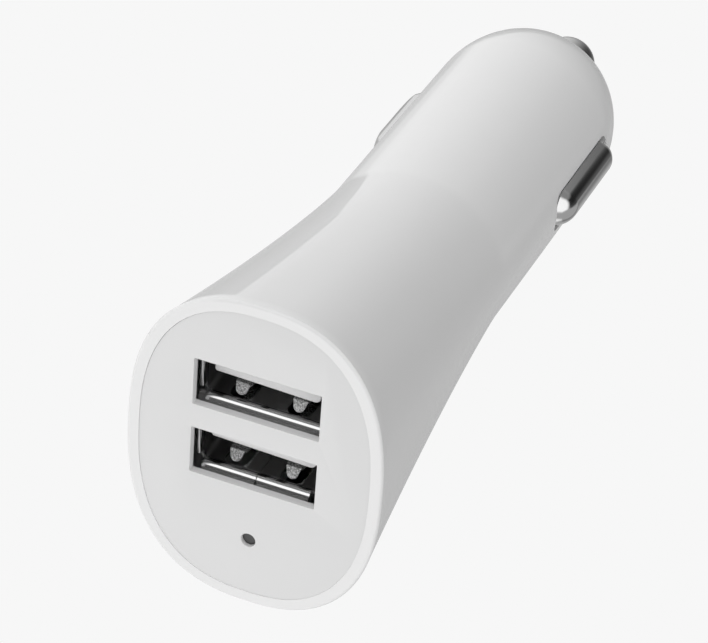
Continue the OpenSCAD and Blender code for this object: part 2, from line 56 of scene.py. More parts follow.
# %% Camera
AZIMUTH, ELEVATION, ROLL = (math.radians(a) for a in (20.8408, 34.1816, 4.4622))
CAMERA_DISTANCE = 351.7757
LENS_PIXELS = 3468.07
AIM = Vector((-2.3298, 30 - BARREL_START, -3.1293))

level = math.cos(ELEVATION)
back = Vector((math.sin(AZIMUTH) * level, -math.cos(AZIMUTH) * level, math.sin(ELEVATION)))
right = Vector((math.cos(AZIMUTH), math.sin(AZIMUTH), 0))
up = back.cross(right)
cam_right = right * math.cos(ROLL) + up * math.sin(ROLL)
cam_up = back.cross(cam_right)
camera = bpy.data.objects.new("camera", bpy.data.cameras.new("camera"))
camera.data.sensor_width = 36
camera.data.lens = 36 * LENS_PIXELS / 708
camera.data.clip_start, camera.data.clip_end = 0.01, 20
turned = Matrix((cam_right, cam_up, back)).transposed().to_4x4()
camera.matrix_world = Matrix.Translation((AIM + back * CAMERA_DISTANCE) * MM) @ turned
bpy.context.scene.collection.objects.link(camera)
bpy.context.scene.camera = camera
bpy.context.scene.view_settings.view_transform = "Standard"
print("camera at", [round(v, 4) for v in camera.matrix_world.translation])

# %% [markdown]
# ## Shader sums
# A procedural finish is a sum of patterns. Blender writes such sums as chains of nodes,
# which are hard to read in code. One small class wraps a socket, so that mask * 2 or
# 1 - mask adds the node that works it out. Numbers use Math nodes, while colours and
# vectors use Mix and Vector Math, because a Math node would turn a colour grey.

# %% The wire class
class Wire:
    """An output socket that can be added, subtracted and multiplied."""

    def __init__(self, tree, socket):
        self.tree, self.socket = tree, socket

    def node(self, kind, settings=None, sockets=None, out=0):
        """Adds any node to the tree: its settings first, then values or wires for its sockets."""
        made = self.tree.nodes.new("ShaderNode" + kind)
        for name, value in (settings or {}).items():
            if name == "stops":
                ramp = made.color_ramp.elements
                while len(ramp) < len(value):
                    ramp.new(0.5)
                for stop, (at, shade) in zip(ramp, value):
                    stop.position, stop.color = at, grey(shade) if isinstance(shade, (int, float)) else shade
            else:
                setattr(made, name, value)
        for name, value in (sockets or {}).items():
            if isinstance(value, Wire):
                self.tree.links.new(value.socket, made.inputs[name])
            else:
                made.inputs[name].default_value = value
        return Wire(self.tree, made.outputs[out])

    def _sum(self, operation, first, second):
        kinds = [w.socket.type for w in (first, second) if isinstance(w, Wire)]
        if "RGBA" in kinds:
            pair = [grey(v) if isinstance(v, (int, float)) else v for v in (first, second)]
            settings = {"data_type": "RGBA", "blend_type": operation}
            return self.node("Mix", settings, {0: 1.0, 6: pair[0], 7: pair[1]}, 2)
        if "VECTOR" in kinds:
            pair = [(v, v, v) if isinstance(v, (int, float)) else v for v in (first, second)]
            return self.node("VectorMath", {"operation": operation}, dict(enumerate(pair)))
        return self.node("Math", {"operation": operation}, dict(enumerate((first, second))))

    def __add__(self, other):
        return self._sum("ADD", self, other)

    __radd__ = __add__

    def __mul__(self, other):
        return self._sum("MULTIPLY", self, other)

    __rmul__ = __mul__

    def __sub__(self, other):
        return self._sum("SUBTRACT", self, other)

    def __rsub__(self, other):
        return self._sum("SUBTRACT", other, self)

    def __truediv__(self, other):
        return self._sum("DIVIDE", self, other)

    def rise(self, low, high):
        """0 below low and 1 above high, with a smooth rise between them."""
        return self.node("MapRange", {"interpolation_type": "SMOOTHSTEP"}, {0: self, 1: low, 2: high})

    def absolute(self):
        """The size of a number, without its sign."""
        return self.node("Math", {"operation": "ABSOLUTE"}, {0: self})

    def blend(self, first, second):
        """A colour that goes from first to second as this wire goes from 0 to 1."""
        return self.node("Mix", {"data_type": "RGBA"}, {0: self, 6: first, 7: second}, 2)

    def axis(self, which):
        """One coordinate of a vector."""
        return self.node("SeparateXYZ", None, {0: self}, "XYZ".index(which))


def grey(value):
    """A neutral colour."""
    return (value, value, value, 1.0)


print("wire class ready:", [name for name in vars(Wire) if not name.startswith("__")])

# %% [markdown]
# ## Finishes
# Every finish is one Principled shader. Values that are the same all over are set on the
# shader's own sockets, and only what varies over the surface is wired. Patterns are laid
# out in the object's own coordinates in millimetres, so they stick to the part when it
# moves and have a real scale.

# %% Starting a finish
FINISHES = {}


def new_finish(name, **constants):
    """A material with its constant values set. Returns its shader and the place wire, in millimetres."""
    material = bpy.data.materials.new(name)
    material.use_nodes = True
    shader = material.node_tree.nodes["Principled BSDF"]
    for key, value in constants.items():
        shader.inputs[key.replace("_", " ")].default_value = value
    FINISHES[name] = material
    start = Wire(material.node_tree, shader.outputs[0])
    place = start.node("TexCoord", None, None, "Object") * (1 / MM)
    return shader, place


def feed(shader, **wires):
    """Wires that vary over the surface, into the shader's sockets."""
    for key, wire in wires.items():
        wire.tree.links.new(wire.socket, shader.inputs[key.replace("_", " ")])


def noise(place, size, detail=2.0, rough=0.5):
    """Soft random values from 0 to 1, with lumps of about that size in millimetres."""
    sockets = {"Vector": place, "Scale": 1 / size, "Detail": detail, "Roughness": rough}
    return place.node("TexNoise", None, sockets)


def bump(height, depth, strength=1.0):
    """A bump of that depth in millimetres where height goes from 0 to 1."""
    return height.node("Bump", None, {"Strength": strength, "Distance": depth * MM, "Height": height})


def dress(obj, finish):
    """Gives a piece or a CAD node its finish."""
    obj.data.materials.clear()
    obj.data.materials.append(FINISHES[finish])


print("finish helpers ready")

# %% [markdown]
# ## The studio
# White glossy plastic shows mostly what it mirrors. The studio is drawn in the world
# shader as light by direction. A bright wall stands behind the object on the left, and
# its crisp corner draws the long line along the body's flank. The right side is almost
# unlit, so the body falls off there, apart from one soft box at the front right, which
# puts the white patch on the right contact. The brightness of each region was fitted to
# the tones in the photograph. Lamps could do this too, but a world has no noise and no
# distance to tune. The floor and the backdrop that the camera sees are plain and pale.

# %% World light and floor
BACKDROP = 0.930  # linear value of the photograph's plain ground


def studio():
    """The world's light by direction: x to the right, y away from the face, z up."""
    world = bpy.data.worlds.new("studio")
    world.use_nodes = True
    bpy.context.scene.world = world
    tree = world.node_tree
    shade = tree.nodes["Background"]
    start = Wire(tree, shade.outputs[0])
    ray = start.node("TexCoord", None, None, "Generated")
    x, y, z = (ray.axis(a) for a in "XYZ")

    def toward(a, b, c):
        return x * a + y * b + z * c

    left = x.rise(0.607, -0.785)
    softness = 0.002 + 0.12 * x.rise(-0.35, 0.10)
    above = ((z - 0.035) / softness).rise(-1, 1)
    wall = 0.02 + left * (1.031 + 0.317 * z.rise(0.10, 0.60)) + (1 - left) * 0.26 * z.rise(0.40, 0.62)
    corner = (x + 0.447 + 0.09 * z.rise(0.11, -0.14)).rise(-0.001, 0.001)
    low_wall = 0.90 - 0.34 * z.rise(-0.07, -0.09)
    ground = low_wall + (0.28 - low_wall) * corner - 0.22 * x.rise(0.25, 0.70)
    ground = ground + (0.48 - 0.33 * x.rise(0.15, 0.60) - ground) * z.rise(-0.18, -0.45)
    behind = ground + (wall - ground) * above
    front = 1.31 - 0.58 * z.rise(0.35, 0.85)
    light = behind + (front - behind) * y.rise(0.15, -0.25)
    camera_side = toward(-0.100, -0.954, 0.281).rise(0.80, 0.90) * z.rise(0.66, 0.56)
    light = light * (1 - 0.95 * camera_side)
    overhead = toward(-0.249, -0.549, 0.798).rise(0.90, 0.945)
    light = light + (1.55 - light) * overhead
    low_right = x.rise(0.45, 0.60) * z.rise(-0.12, -0.26)
    light = light + (0.44 - light) * low_right
    front_right = toward(0.800, -0.500, 0.330).rise(0.74, 0.92)
    light = light + (1.28 - light) * front_right
    low_left = toward(-0.551, 0.451, -0.702).rise(0.88, 0.97)
    light = light + (0.88 - light) * low_left

    seen = start.node("LightPath", None, None, "Is Camera Ray")
    shown = seen.node("Mix", None, {0: seen, 2: light, 3: BACKDROP})
    tree.links.new(shown.socket, shade.inputs["Color"])
    return world


studio()
floor_mesh = bpy.data.meshes.new("floor")
floor_mesh.from_pydata([(-4, -4, -0.05), (4, -4, -0.05), (4, 4, -0.05), (-4, 4, -0.05)], [], [(0, 1, 2, 3)])
floor = bpy.data.objects.new("floor", floor_mesh)
bpy.context.scene.collection.objects.link(floor)
floor_paint = bpy.data.materials.new("floor_paint")
floor_paint.use_nodes = True
paint_tree = floor_paint.node_tree
paint_tree.nodes.clear()
paint_out = paint_tree.nodes.new("ShaderNodeOutputMaterial")
glow = Wire(paint_tree, paint_out.inputs[0]).node("Emission", None, {"Color": grey(BACKDROP)})
clear = glow.node("BsdfTransparent")
under = glow.node("NewGeometry", None, None, "Backfacing")
paint = glow.node("MixShader", None, {0: under, 1: glow, 2: clear})
paint_tree.links.new(paint.socket, paint_out.inputs[0])
floor_mesh.materials.append(floor_paint)
floor.visible_diffuse = floor.visible_glossy = floor.visible_transmission = floor.visible_shadow = False
print("studio and floor ready")

# %% [markdown]
# ## Mesh helpers
# Most pieces here are lofts, which are skins pulled over a row of outlines. Outlines are
# drawn in the X and Z plane and counted anticlockwise as seen from the face, with one
# list of points for each ring. Holes are cut with exact booleans, as they keep an edge
# crisp. Pieces are built in millimetres and only then set down in the frame.

# %% Building and cutting
def build(name, points, faces):
    """A mesh object in millimetres, with its faces turned outward."""
    mesh = bpy.data.meshes.new(name)
    mesh.from_pydata(points, [], faces)
    work = bmesh.new()
    work.from_mesh(mesh)
    bmesh.ops.recalc_face_normals(work, faces=work.faces)
    work.to_mesh(mesh)
    work.free()
    obj = bpy.data.objects.new(name, mesh)
    bpy.context.scene.collection.objects.link(obj)
    return obj


def skin(rings, closed=True):
    """Points and faces over rings of equal count. Closed skins run end to start, open ones get end caps."""
    count, rows = len(rings[0]), len(rings)
    points = [p for ring in rings for p in ring]
    last = rows if closed else rows - 1
    faces = []
    for j in range(last):
        here, there = j * count, (j + 1) % rows * count
        for i in range(count):
            after = (i + 1) % count
            faces.append((here + i, there + i, there + after, here + after))
    if not closed:
        faces += [tuple(range(count)), tuple(reversed(range((rows - 1) * count, rows * count)))]
    return points, faces


def loft(name, rings):
    """A solid skinned over rings, with flat ends."""
    return build(name, *skin(rings, closed=False))


def settle(obj):
    """Applies a piece's modifiers."""
    evaluated = obj.evaluated_get(bpy.context.evaluated_depsgraph_get())
    made = bpy.data.meshes.new_from_object(evaluated)
    obj.modifiers.clear()
    obj.data = made
    return obj


def cut(obj, *tools, how="DIFFERENCE"):
    """Cuts a piece with others, which are used up."""
    for tool in tools:
        step = obj.modifiers.new("cut", "BOOLEAN")
        step.operation, step.object, step.solver = how, tool, "EXACT"
        settle(obj)
        bpy.data.objects.remove(tool)
    return obj


def join(name, *parts):
    """One object from several, each a closed solid of its own."""
    work = bmesh.new()
    for part in parts:
        work.from_mesh(part.data)
        bpy.data.objects.remove(part)
    mesh = bpy.data.meshes.new(name)
    work.to_mesh(mesh)
    work.free()
    obj = bpy.data.objects.new(name, mesh)
    bpy.context.scene.collection.objects.link(obj)
    return obj


def set_down(obj, body, finish, replaces=(), angle=32):
    """Puts a finished piece into the frame: metres, its body, its finish and the CAD nodes it stands for."""
    obj.data.transform(Matrix.Scale(MM, 4) @ Matrix.Translation((0, -BARREL_START, 0)))
    obj.data.shade_smooth()
    obj.data.set_sharp_from_angle(angle=math.radians(angle))
    dress(obj, finish)
    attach(obj, body)
    if replaces:
        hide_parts(*replaces)
    print(obj.name, "has", len(obj.data.polygons), "faces")
    return obj


def oval(a, b, power, y, count=144):
    """A ring of an oval with half axes a and b. A power of 2 is a plain ellipse."""
    ring = []
    for i in range(count):
        t = 2 * math.pi * i / count
        r = (abs(math.cos(t) / a) ** power + abs(math.sin(t) / b) ** power) ** (-1 / power)
        ring.append((r * math.cos(t), y, r * math.sin(t)))
    return ring


def round_box(w, h, r, y, z=0.0, steps=6):
    """A ring of a rounded rectangle about the point (0, z)."""
    ring = []
    for corner, (sx, sz) in enumerate(((1, 1), (-1, 1), (-1, -1), (1, -1))):
        for step in range(steps + 1):
            t = math.radians(90 * corner + 90 * step / steps)
            ring.append((sx * (w / 2 - r) + r * math.cos(t), y, z + sz * (h / 2 - r) + r * math.sin(t)))
    return ring


def circle(r, y, z=0.0, count=64):
    return [(x, y, z + h) for x, y, h in oval(r, r, 2, y, count)]


def box(low, high):
    """A plain block between two corners."""
    (x0, y0, z0), (x1, y1, z1) = low, high
    rings = [[(x1, y, z1), (x0, y, z1), (x0, y, z0), (x1, y, z0)] for y in (y0, y1)]
    return loft("block", rings)


print("mesh helpers ready")

# %% [markdown]
# ## The housing
# The real housing is one injection moulding in glossy white. Its rim is a squarish oval
# that flares down into a round barrel, and the nose is a dome. The CAD solid has the same
# shape in flat facets, which a gloss finish would show, so it is skinned again here over
# close rings from the same formulas. A subdivision surface would be quicker to draw but
# would drift from the formulas, and the sharp reflection needs exact directions.

# %% Housing outline
FACE_W, FACE_H, FACE_POWER = 26.4, 34.4, 2.44
BARREL_R, FLARE_LEN, FLARE_POWER = 10.4, 39.2, 1.3
RIM_W, RIM_ROUND, WALL = 1.27, 0.35, 1.5
CYLINDER_END, BARREL_DRAFT = 53.4, 0.05
NOSE_START, NOSE_LEN, NOSE_FLAT = 69.2, 12.2, 3.9
PLATE_FRONT, PLATE_BACK = 0.05, 1.7
NOSE_R = BARREL_R - BARREL_DRAFT
NOSE_END = NOSE_START + NOSE_LEN * math.sqrt(1 - (NOSE_FLAT / NOSE_R) ** 2)


def half_sizes(y):
    """Half width, half height and power of the body's outline at a distance from the face."""
    share = max(0.0, 1 - y / FLARE_LEN)
    grow = share ** FLARE_POWER
    half_width = BARREL_R + (FACE_W / 2 - BARREL_R) * grow
    half_height = BARREL_R + (FACE_H / 2 - BARREL_R) * grow
    return half_width, half_height, 2 + (FACE_POWER - 2) * share


def body_ring(y, inset=0.0, count=144):
    """The body's outline at a distance from the face, made smaller all round by an inset."""
    a, b, power = half_sizes(y)
    if y > CYLINDER_END:
        drafted = min(1, (y - CYLINDER_END) / (NOSE_START - CYLINDER_END))
        a = b = BARREL_R - BARREL_DRAFT * drafted
    if y > NOSE_START:
        a = b = NOSE_R * math.sqrt(1 - ((y - NOSE_START) / NOSE_LEN) ** 2)
    return oval(a - inset, b - inset, power, y, count)


rim_rings = []
for turn in range(0, 90, 15):
    inward = RIM_ROUND * (1 - math.sin(math.radians(turn)))
    depth = RIM_ROUND * (1 - math.cos(math.radians(turn)))
    rim_rings.append(oval(FACE_W / 2 - inward, FACE_H / 2 - inward, FACE_POWER, depth))
flare_rings = [body_ring(RIM_ROUND + (FLARE_LEN - RIM_ROUND) * i / 30) for i in range(31)]
barrel_rings = [body_ring(y) for y in (43, 47, CYLINDER_END, 57, 61, 65, NOSE_START)]
nose_shares = [math.sin(math.radians(90 * i / 16)) for i in range(1, 17)]
nose_rings = [body_ring(NOSE_START + (NOSE_END - NOSE_START) * share) for share in nose_shares]
housing = loft("housing_shell", rim_rings + flare_rings + barrel_rings + nose_rings)
print("housing outside:", len(housing.data.polygons), "faces, nose ends at", round(NOSE_END, 2))

# %% Hollow, pocket, slots and rails
hollow_rings = [body_ring(PLATE_BACK - 0.02 + (FLARE_LEN - PLATE_BACK) * i / 12, WALL, 96) for i in range(13)]
bore = [(BARREL_R - WALL, 50), (BARREL_R - WALL, 68.5), (5.2, 72), (5.2, 78.5)]
hollow = loft("hollow", hollow_rings + [circle(r, y, count=96) for r, y in bore])
GUIDE_R, GUIDE_EDGE = 3.1, 0.12
guide = [(0, 77), (0, NOSE_END - GUIDE_EDGE), (GUIDE_EDGE, NOSE_END), (GUIDE_EDGE, NOSE_END + 1)]
tip_hole = loft("tip_hole", [circle(GUIDE_R + wider, y, count=48) for wider, y in guide])
pocket_a, pocket_b = FACE_W / 2 - RIM_W, FACE_H / 2 - RIM_W
pocket_edge = [(0.03, -1), (0.03, 0), (0.009, 0.009), (0, 0.03), (0, PLATE_BACK)]
pocket = loft("pocket", [oval(pocket_a + g, pocket_b + g, FACE_POWER, y) for g, y in pocket_edge])

SLOT_START, SLOT_END, SLOT_HALF, SLOT_CORNER = 53.9, 69.1, 2.35, 1.3


def slot_tool(side):
    """A rounded prism through one side of the barrel."""
    outline = round_box(SLOT_END - SLOT_START, 2 * SLOT_HALF, SLOT_CORNER, 0)
    middle = (SLOT_START + SLOT_END) / 2
    return loft("slot", [[(side * x, middle + u, v) for u, _, v in outline] for x in (4, 12)])


cut(housing, hollow, tip_hole, pocket, slot_tool(1), slot_tool(-1))
rails = []
for side in (-1, 1):
    for level in (-1, 1):
        x = sorted((side * 8.1, side * 9.3))
        z = sorted((level * 0.8, level * 2.0))
        rails.append(box((x[0], 24, z[0]), (x[1], 36, z[1])))
housing = join("housing_shell", housing, *rails)
print("housing after cuts:", len(housing.data.polygons), "faces")

# %% [markdown]
# ## Gloss white plastic
# Polished white moulding has a very smooth skin with a faint waviness left by the tool,
# and a little dust in the pigment. The waviness is a bump with a depth of a few microns
# over several millimetres, which bends the long reflection without showing as texture.

# %% Housing finish
shader, place = new_finish("housing_gloss", IOR=1.5, Coat_Roughness=0.03, Subsurface_Weight=0.0)
pigment = noise(place, 6.0, 3.0)
feed(
    shader,
    Base_Color=pigment.blend(grey(0.800), grey(0.815)),
    Roughness=0.02 + 0.02 * noise(place, 1.4, 4.0),
    Normal=bump(noise(place, 9.0, 1.0), 0.004),
)
print("housing finish has", len(FINISHES["housing_gloss"].node_tree.nodes), "nodes")

# %% Exact directions for the gloss
def true_normal(x, y, z):
    """The direction straight out of the housing's outside at a point on it, in millimetres."""
    if y < RIM_ROUND:
        lean = 1 - y / RIM_ROUND
        a, b, power = FACE_W / 2, FACE_H / 2, FACE_POWER
        across = abs(x / a) ** (power - 1) / a
        rise = abs(z / b) ** (power - 1) / b
        out = Vector((math.copysign(across, x), 0, math.copysign(rise, z))).normalized()
        return out * math.sqrt(max(0, 1 - lean * lean)) + Vector((0, -lean, 0))
    if y > NOSE_START:
        return Vector((x / NOSE_R ** 2, (y - NOSE_START) / NOSE_LEN ** 2, z / NOSE_R ** 2)).normalized()
    a, b, power = half_sizes(y)
    step = 0.05
    a2, b2, power2 = half_sizes(y + step)

    def level_at(a, b, n):
        return (abs(x) / a) ** n + (abs(z) / b) ** n

    along = (level_at(a2, b2, power2) - level_at(a, b, power)) / step
    across = power * abs(x / a) ** (power - 1) / a
    rise = power * abs(z / b) ** (power - 1) / b
    return Vector((math.copysign(across, x), along, math.copysign(rise, z))).normalized()


set_down(housing, "body", "housing_gloss", ["housing"])
mesh = housing.data
directions = [Vector((0, 0, 0))] * len(mesh.loops)
exact = 0
for face in mesh.polygons:
    for loop in face.loop_indices:
        p = mesh.vertices[mesh.loops[loop].vertex_index].co / MM
        out = true_normal(p.x, p.y + BARREL_START, p.z)
        if p.y + BARREL_START < 1e-4:
            out = Vector((0, -1, 0))
        if out.dot(face.normal) > 0.93 and math.hypot(p.x, p.z) > NOSE_FLAT - 0.01:
            directions[loop] = out
            exact += 1
mesh.normals_split_custom_set(directions)
print(exact, "of", len(mesh.loops), "corners follow the formulas")

# %% [markdown]
# ## The face plate
# The plate is a separate satin moulding, set just behind the rim. Its play in the pocket
# is a few hundredths of a millimetre, and it sits to one side, so its seam is dark only
# at the upper left. The two ports and the light's hole go through it with a very small
# rounding, as a mould can't make a perfect corner.

# %% Face plate
PORT_W, PORT_H, SHELL_FRONT = 13.0, 5.2, 0.9
PORT_ZS = {"upper": 2.84 + 7.88 / 2, "lower": 2.84 - 7.88 / 2}
LIGHT_Z, LIGHT_R = -9.74, 0.75
plate_a, plate_b = pocket_a - 0.012, pocket_b - 0.012
edge = [(0.02, 0.0), (0.006, 0.006), (0.0, 0.02)]
GAP_SHIFT = 0.011  # the plate sits toward the lower right, so its gap shows only at the upper left
plate_rings = [oval(plate_a - g, plate_b - g, FACE_POWER, PLATE_FRONT + d) for g, d in edge]
plate = loft("plate", plate_rings + [oval(plate_a, plate_b, FACE_POWER, PLATE_BACK)])
for v in plate.data.vertices:
    v.co += Vector((GAP_SHIFT, 0, -GAP_SHIFT))


def mouth_tool(w, h, z, fillet, corner):
    """The tool for a port's opening, which is wider at the front by its small rounding."""
    curve = [(fillet * (1 - math.sin(t)), fillet * (1 - math.cos(t))) for t in (0.4, 0.8, 1.2)]
    stops = [(fillet, -1), (fillet, 0)] + curve + [(0, fillet), (0, 3)]
    rings = [round_box(w + 2 * g, h + 2 * g, corner + g, PLATE_FRONT + d, z) for g, d in stops]
    return loft("mouth", rings)


for z in PORT_ZS.values():
    recess = loft("recess", [round_box(14.9, 7.5, 1.2, y, z) for y in (SHELL_FRONT, 3)])
    cut(plate, mouth_tool(PORT_W, PORT_H, z, 0.05, 0.12), recess)
hole_edge = [(0.05, -1), (0.05, PLATE_FRONT), (0, PLATE_FRONT + 0.05), (0, 3)]
cut(plate, loft("light_hole", [circle(LIGHT_R + g, y, LIGHT_Z) for g, y in hole_edge]))


def wall_ring(name, outside, inside):
    """A closed wall between two outlines, each a list of rings from front to back."""
    return build(name, *skin([outside[0], outside[1], inside[1], inside[0]]))


skirt_y = PLATE_BACK + 3
a, b, power = half_sizes(skirt_y)
skirt = wall_ring(
    "skirt",
    [oval(a - 1.75, b - 1.75, power, y, 96) for y in (PLATE_BACK - 0.02, skirt_y)],
    [oval(a - 2.75, b - 2.75, power, y, 96) for y in (PLATE_BACK - 0.02, skirt_y)],
)
BOSS_R, BOSS_END = 1.6, 4.3
boss_walls = [[circle(r, y, LIGHT_Z) for y in (PLATE_BACK - 0.02, BOSS_END)] for r in (BOSS_R, LIGHT_R)]
boss = wall_ring("boss", *boss_walls)
plate = join("face_plate_shell", plate, skirt, boss)
print("plate", len(plate.data.polygons), "faces")

# %% [markdown]
# ## Satin white plastic
# The plate comes from a spark-eroded mould, which leaves an even fine grain. Grain of
# about 0.12 mm goes into the bump and the roughness, so that the plate scatters light
# beside the mirror-like rim.

# %% Plate finish
shader, place = new_finish("plate_satin", IOR=1.5)
grain = noise(place, 0.12, 3.0, 0.6)
feed(
    shader,
    Base_Color=noise(place, 5.0, 2.0).blend(grey(0.718), grey(0.732)),
    Roughness=0.42 + 0.12 * grain,
    Normal=bump(grain, 0.006, 0.6),
)
set_down(plate, "body", "plate_satin", ["face_plate"])

# %% [markdown]
# ## The port shells
# Each shell is folded from thin nickel-plated sheet. Its mouth has four lips, bent
# outward on a round, with open notches at the corners where the sheet was cut so that it
# could bend. Two fingers of the floor are cut free on three sides and bent up, and they
# hold the plug by friction. The sleeve is a wall between two outlines, and each lip and
# finger is a strip that is swept along its bend.

# %% Shell helpers
CAVITY_W, CAVITY_H, SHEET, SHELL_BACK = 12.5, 5.12, 0.3, 14.5
LIP_R = 0.75


def strip(name, path, half_widths, thickness, steps=10):
    """A sheet strip along a path of (y, z) points: its width runs in X and its thickness lies below."""
    top, low = [], []
    for k, (y, z) in enumerate(path):
        before, after = path[max(0, k - 1)], path[min(len(path) - 1, k + 1)]
        run = Vector((after[0] - before[0], after[1] - before[1])).normalized()
        down = Vector((-run.y, run.x)) * thickness
        w = half_widths[k]
        xs = [w * (2 * i / steps - 1) for i in range(steps + 1)]
        top.append([(x, y, z) for x in xs])
        low.append([(x, y + down.x, z + down.y) for x in xs])
    return build(name, *skin([t + l[::-1] for t, l in zip(top, low)], closed=False))


def move(obj, change):
    """Moves every point of a piece by a rule."""
    for v in obj.data.vertices:
        v.co = change(*v.co)
    return obj


def floor_lip(sleeve_start, half_width, start, turn, flat):
    """A lip that leaves the floor at start, turns down on a round by an angle and runs on flat."""
    turns = [math.radians(turn) * k / 12 for k in range(13)]
    path = [(sleeve_start + 0.1, 0)]
    path += [(start - LIP_R * math.sin(t), -LIP_R * (1 - math.cos(t))) for t in turns]
    y, z = path[-1]
    path.append((y - flat * math.cos(turns[-1]), z - flat * math.sin(turns[-1])))
    return strip("lip", path, [half_width] * (len(path) - 1) + [half_width - 0.08], SHEET)


def turn_out(obj):
    """Turns a piece's faces outward."""
    work = bmesh.new()
    work.from_mesh(obj.data)
    bmesh.ops.recalc_face_normals(work, faces=work.faces)
    work.to_mesh(obj.data)
    work.free()
    return obj


FINGER_TIP, FINGER_ROOT, FINGER_RISE = 3.2, 8.7, 1.2
FINGER_HALF, FINGER_GAP, FINGER_ROUND = 0.85, 0.35, 0.6
FINGER_BENDS = [(FINGER_ROOT + 0.2, 0), (FINGER_ROOT, 0), (4.35, FINGER_RISE), (3.8, FINGER_RISE)]
FINGER_BENDS += [(3.38, 0.38), (FINGER_TIP, 0.2)]


def bent(points, reach, steps=6):
    """A path through points with its corners rounded, each from a reach before it to a reach after."""
    points = [Vector(p) for p in points]
    path = [points[0]]
    for before, corner, after in zip(points, points[1:], points[2:]):
        first = corner + (before - corner).normalized() * reach
        last = corner + (after - corner).normalized() * reach
        for k in range(steps + 1):
            t = k / steps
            path.append(first * (1 - t) ** 2 + corner * 2 * t * (1 - t) + last * t ** 2)
    foot, tip = path[-1], points[-1]
    return path + [foot.lerp(tip, 1 - (1 - k / 12) ** 2) for k in range(1, 13)]


def finger():
    """A sprung finger: it leaves the floor at its root, rises to a crest and falls to a rounded tip."""
    path = bent(FINGER_BENDS, 0.09)
    run = [0.0]
    for a, b in zip(path, path[1:]):
        run.append(run[-1] + (b - a).length)
    widths = []
    for gone in run:
        left = run[-1] - gone
        if left < FINGER_ROUND:
            widths.append(max(0.08, FINGER_ROUND * math.sqrt(1 - (1 - left / FINGER_ROUND) ** 2)))
        else:
            widths.append(FINGER_ROUND + (FINGER_HALF - FINGER_ROUND) * min(1, (left - FINGER_ROUND) / 0.9))
    return strip("finger", [tuple(p) for p in path], widths, SHEET)


def port_shell(name, z, sleeve_start, finger_xs, seam):
    """The whole shell of one port about the height z."""
    ends = (sleeve_start, SHELL_BACK)
    outside = [round_box(CAVITY_W + 2 * SHEET, CAVITY_H + 2 * SHEET, 0.9, y, z) for y in ends]
    inside = [round_box(CAVITY_W, CAVITY_H, 0.6, y, z) for y in ends]
    sleeve = wall_ring(name, outside, inside)
    floor_z = z - CAVITY_H / 2
    parts = []
    for at in finger_xs:
        outline = round_box(2 * (FINGER_HALF + FINGER_GAP), FINGER_ROOT - FINGER_TIP + FINGER_GAP, 0.9, 0)
        middle = (FINGER_ROOT + FINGER_TIP - FINGER_GAP) / 2
        heights = (floor_z - 1, floor_z + 0.2)
        cut(sleeve, loft("window", [[(at + u, middle + v, h) for u, _, v in outline] for h in heights]))
        parts.append(move(finger(), lambda x, y, h: (x + at, y, h + floor_z)))
    if seam:
        cut(sleeve, box((-0.44, 0, floor_z - 1), (-0.36, 20, floor_z + 0.2)))
    for left, right in ((-6.15, -0.44), (-0.36, 5.15)) if seam else ((-6.80, 6.3),):
        made = floor_lip(sleeve_start, (right - left) / 2, sleeve_start, 58, 0.55)
        parts.append(move(made, lambda x, y, h: (x + (left + right) / 2, y, h + floor_z)))
    top_lip = floor_lip(sleeve_start, 5.6, sleeve_start, 58, 0.5)
    parts.append(move(top_lip, lambda x, y, h: (x, y, z + CAVITY_H / 2 - h)))
    for side in (-1, 1):
        made = floor_lip(sleeve_start, 1.70, 2.3, 30, 0.18)
        parts.append(move(made, lambda x, y, h: (side * (CAVITY_W / 2 - h), y, z + x)))
        x = sorted((side * 6.25, side * 6.55))
        parts.append(box((x[0], SHELL_BACK - 1, z - 0.8), (x[1], 16.9, z + 0.8)))
    return turn_out(join(name, sleeve, *parts))


# %% [markdown]
# ## Plated sheet
# Nickel plating on rolled sheet mirrors almost everything, with faint lines along the
# rolling direction. Further into the sleeve the base colour is darkened as painted shade,
# falling with the distance from the mouth, and the metal is made duller there. The
# fingers are rougher, because every plug wipes over them, so their bands of the shell get
# a speckle of their own.

# %% Shell finish
shader, place = new_finish("shell_plated", Metallic=1.0)
x, y, z = (place.axis(a) for a in "XYZ")
rolled = place.node("TexNoise", None, {"Vector": place * (14.0, 0.8, 14.0), "Scale": 1.0, "Detail": 3.0})
depth = y + BARREL_START
# Painted shade: from 2.6 to 3.2 mm behind the face the base colour darkens to half and stays so further in;
# the roughness also rises there
painted_deep_shade = depth.rise(2.6, 3.2)
rubbed = (x.absolute() - 2.9).absolute().rise(1.15, 1.0) * depth.rise(3.0, 3.15) * depth.rise(8.7, 8.4)
speckle = noise(place, 0.17, 2.0, 0.6).rise(0.34, 0.66)
# The sheet's colour, with the painted shade of the sleeve's inside multiplied in
sheet = rolled.blend(grey(0.60), grey(0.70)) * (1 - 0.5 * painted_deep_shade)
feed(
    shader,
    Base_Color=rubbed.blend(sheet, speckle.blend(grey(0.32), grey(0.90))),
    Roughness=0.10 + 0.06 * rolled + 0.2 * painted_deep_shade + rubbed * (0.12 + 0.15 * speckle),
    Normal=bump(rubbed * speckle, 0.03, 0.8),
)
upper_shell = port_shell("shell_upper", PORT_ZS["upper"], 2.81, (-3.00, 2.95), False)
set_down(upper_shell, "body", "shell_plated", ["usb_shell_upper"])
lower_shell = port_shell("shell_lower", PORT_ZS["lower"], 2.68, (-3.20, 2.70), True)
set_down(lower_shell, "body", "shell_plated", ["usb_shell_lower"])

# %% [markdown]
# ## The tongues
# A port's tongue and the block that it grows from are one moulding in white nylon. Real
# ones lean a little in their shells, as only the block's fit holds them. Both lean by a
# degree and a half here, as in the photograph. The corners are small on the left and
# large on the right, so the outline is drawn corner by corner.

# %% Tongues
TONGUE_W, TONGUE_H, TONGUE_FRONT, TONGUE_LEAN = 10.9, 1.84, 2.6, math.tan(math.radians(1.5))
BASE_FRONT = SHELL_BACK - 4.8


